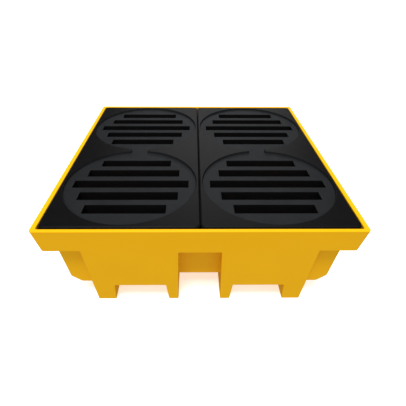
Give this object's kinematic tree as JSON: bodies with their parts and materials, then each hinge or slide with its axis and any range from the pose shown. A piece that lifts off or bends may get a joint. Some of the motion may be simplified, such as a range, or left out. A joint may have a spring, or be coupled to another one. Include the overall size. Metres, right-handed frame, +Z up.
{
  "type": "spill containment pallet",
  "caption": "Moulded spill containment pallet: yellow sump tub with fork pockets, and lift-off black slotted deck grates with round drum recesses.",
  "frame": {"origin": "middle of the footprint, on the floor that the runners stand on", "axes": "+Z up; -Y is the front, where the forks go in; +X is to the right seen from the front, and the seam between the grates runs along Y"},
  "size_m": [1.3, 1.3, 0.4693],
  "materials": {
    "tub_yellow": "rotationally moulded polyethylene, satin with a fine even grain",
    "grate_black": "moulded polyethylene, smooth border and lightly grained recess floors",
    "post_black": "moulded polyethylene, as moulded"
  },
  "bodies": {
    "tub": {"sump_tub": "tub_yellow", "support_post_left_front": "post_black", "support_post_left_middle": "post_black", "support_post_left_rear": "post_black", "support_post_centre_front": "post_black", "support_post_centre_middle": "post_black", "support_post_centre_rear": "post_black", "support_post_right_front": "post_black", "support_post_right_middle": "post_black", "support_post_right_rear": "post_black"},
    "left_grate": {"grate_left": "grate_black"},
    "right_grate": {"grate_right": "grate_black"}
  },
  "joints": [
    {"name": "lift_left_grate", "type": "slide", "parent": "tub", "child": "left_grate", "axis": [0, 0, 1], "range_m": [0, 0.3]},
    {"name": "lift_right_grate", "type": "slide", "parent": "tub", "child": "right_grate", "axis": [0, 0, 1], "range_m": [0, 0.3]}
  ]
}
